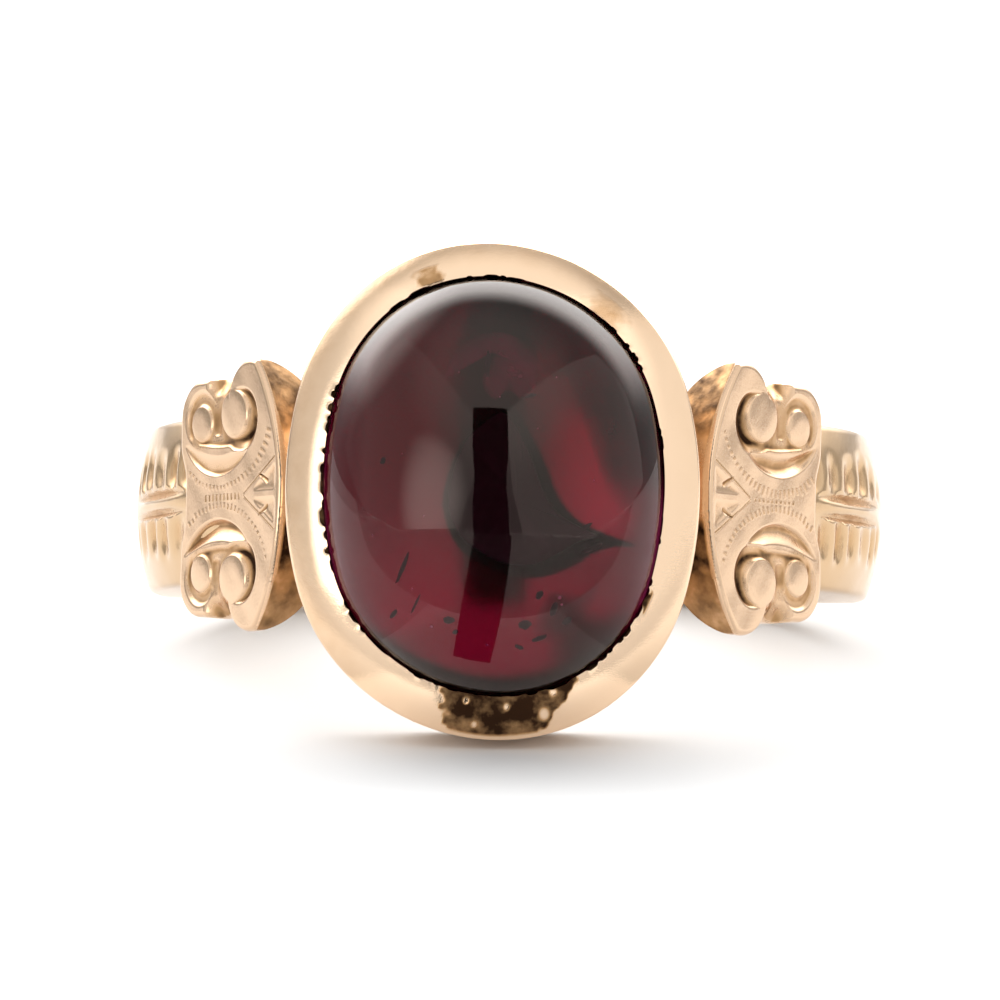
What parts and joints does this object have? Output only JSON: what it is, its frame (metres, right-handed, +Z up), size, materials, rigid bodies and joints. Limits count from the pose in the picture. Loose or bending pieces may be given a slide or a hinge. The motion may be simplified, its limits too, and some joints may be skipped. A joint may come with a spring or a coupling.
{
  "type": "garnet ring",
  "caption": "Finger ring with a large oval domed stone in a heavy rubbed-over collet, between shoulders carved with scrolls.",
  "frame": {"origin": "middle of the ring's box, on the surface it lies on", "axes": "+Z up from the surface, -Y towards the stone, X across the ring"},
  "size_m": [0.0214, 0.0254, 0.0138],
  "materials": {
    "gold": "polished",
    "garnet": "polished"
  },
  "bodies": {
    "root": {"gold_mount": "gold", "garnet": "garnet"}
  },
  "joints": []
}
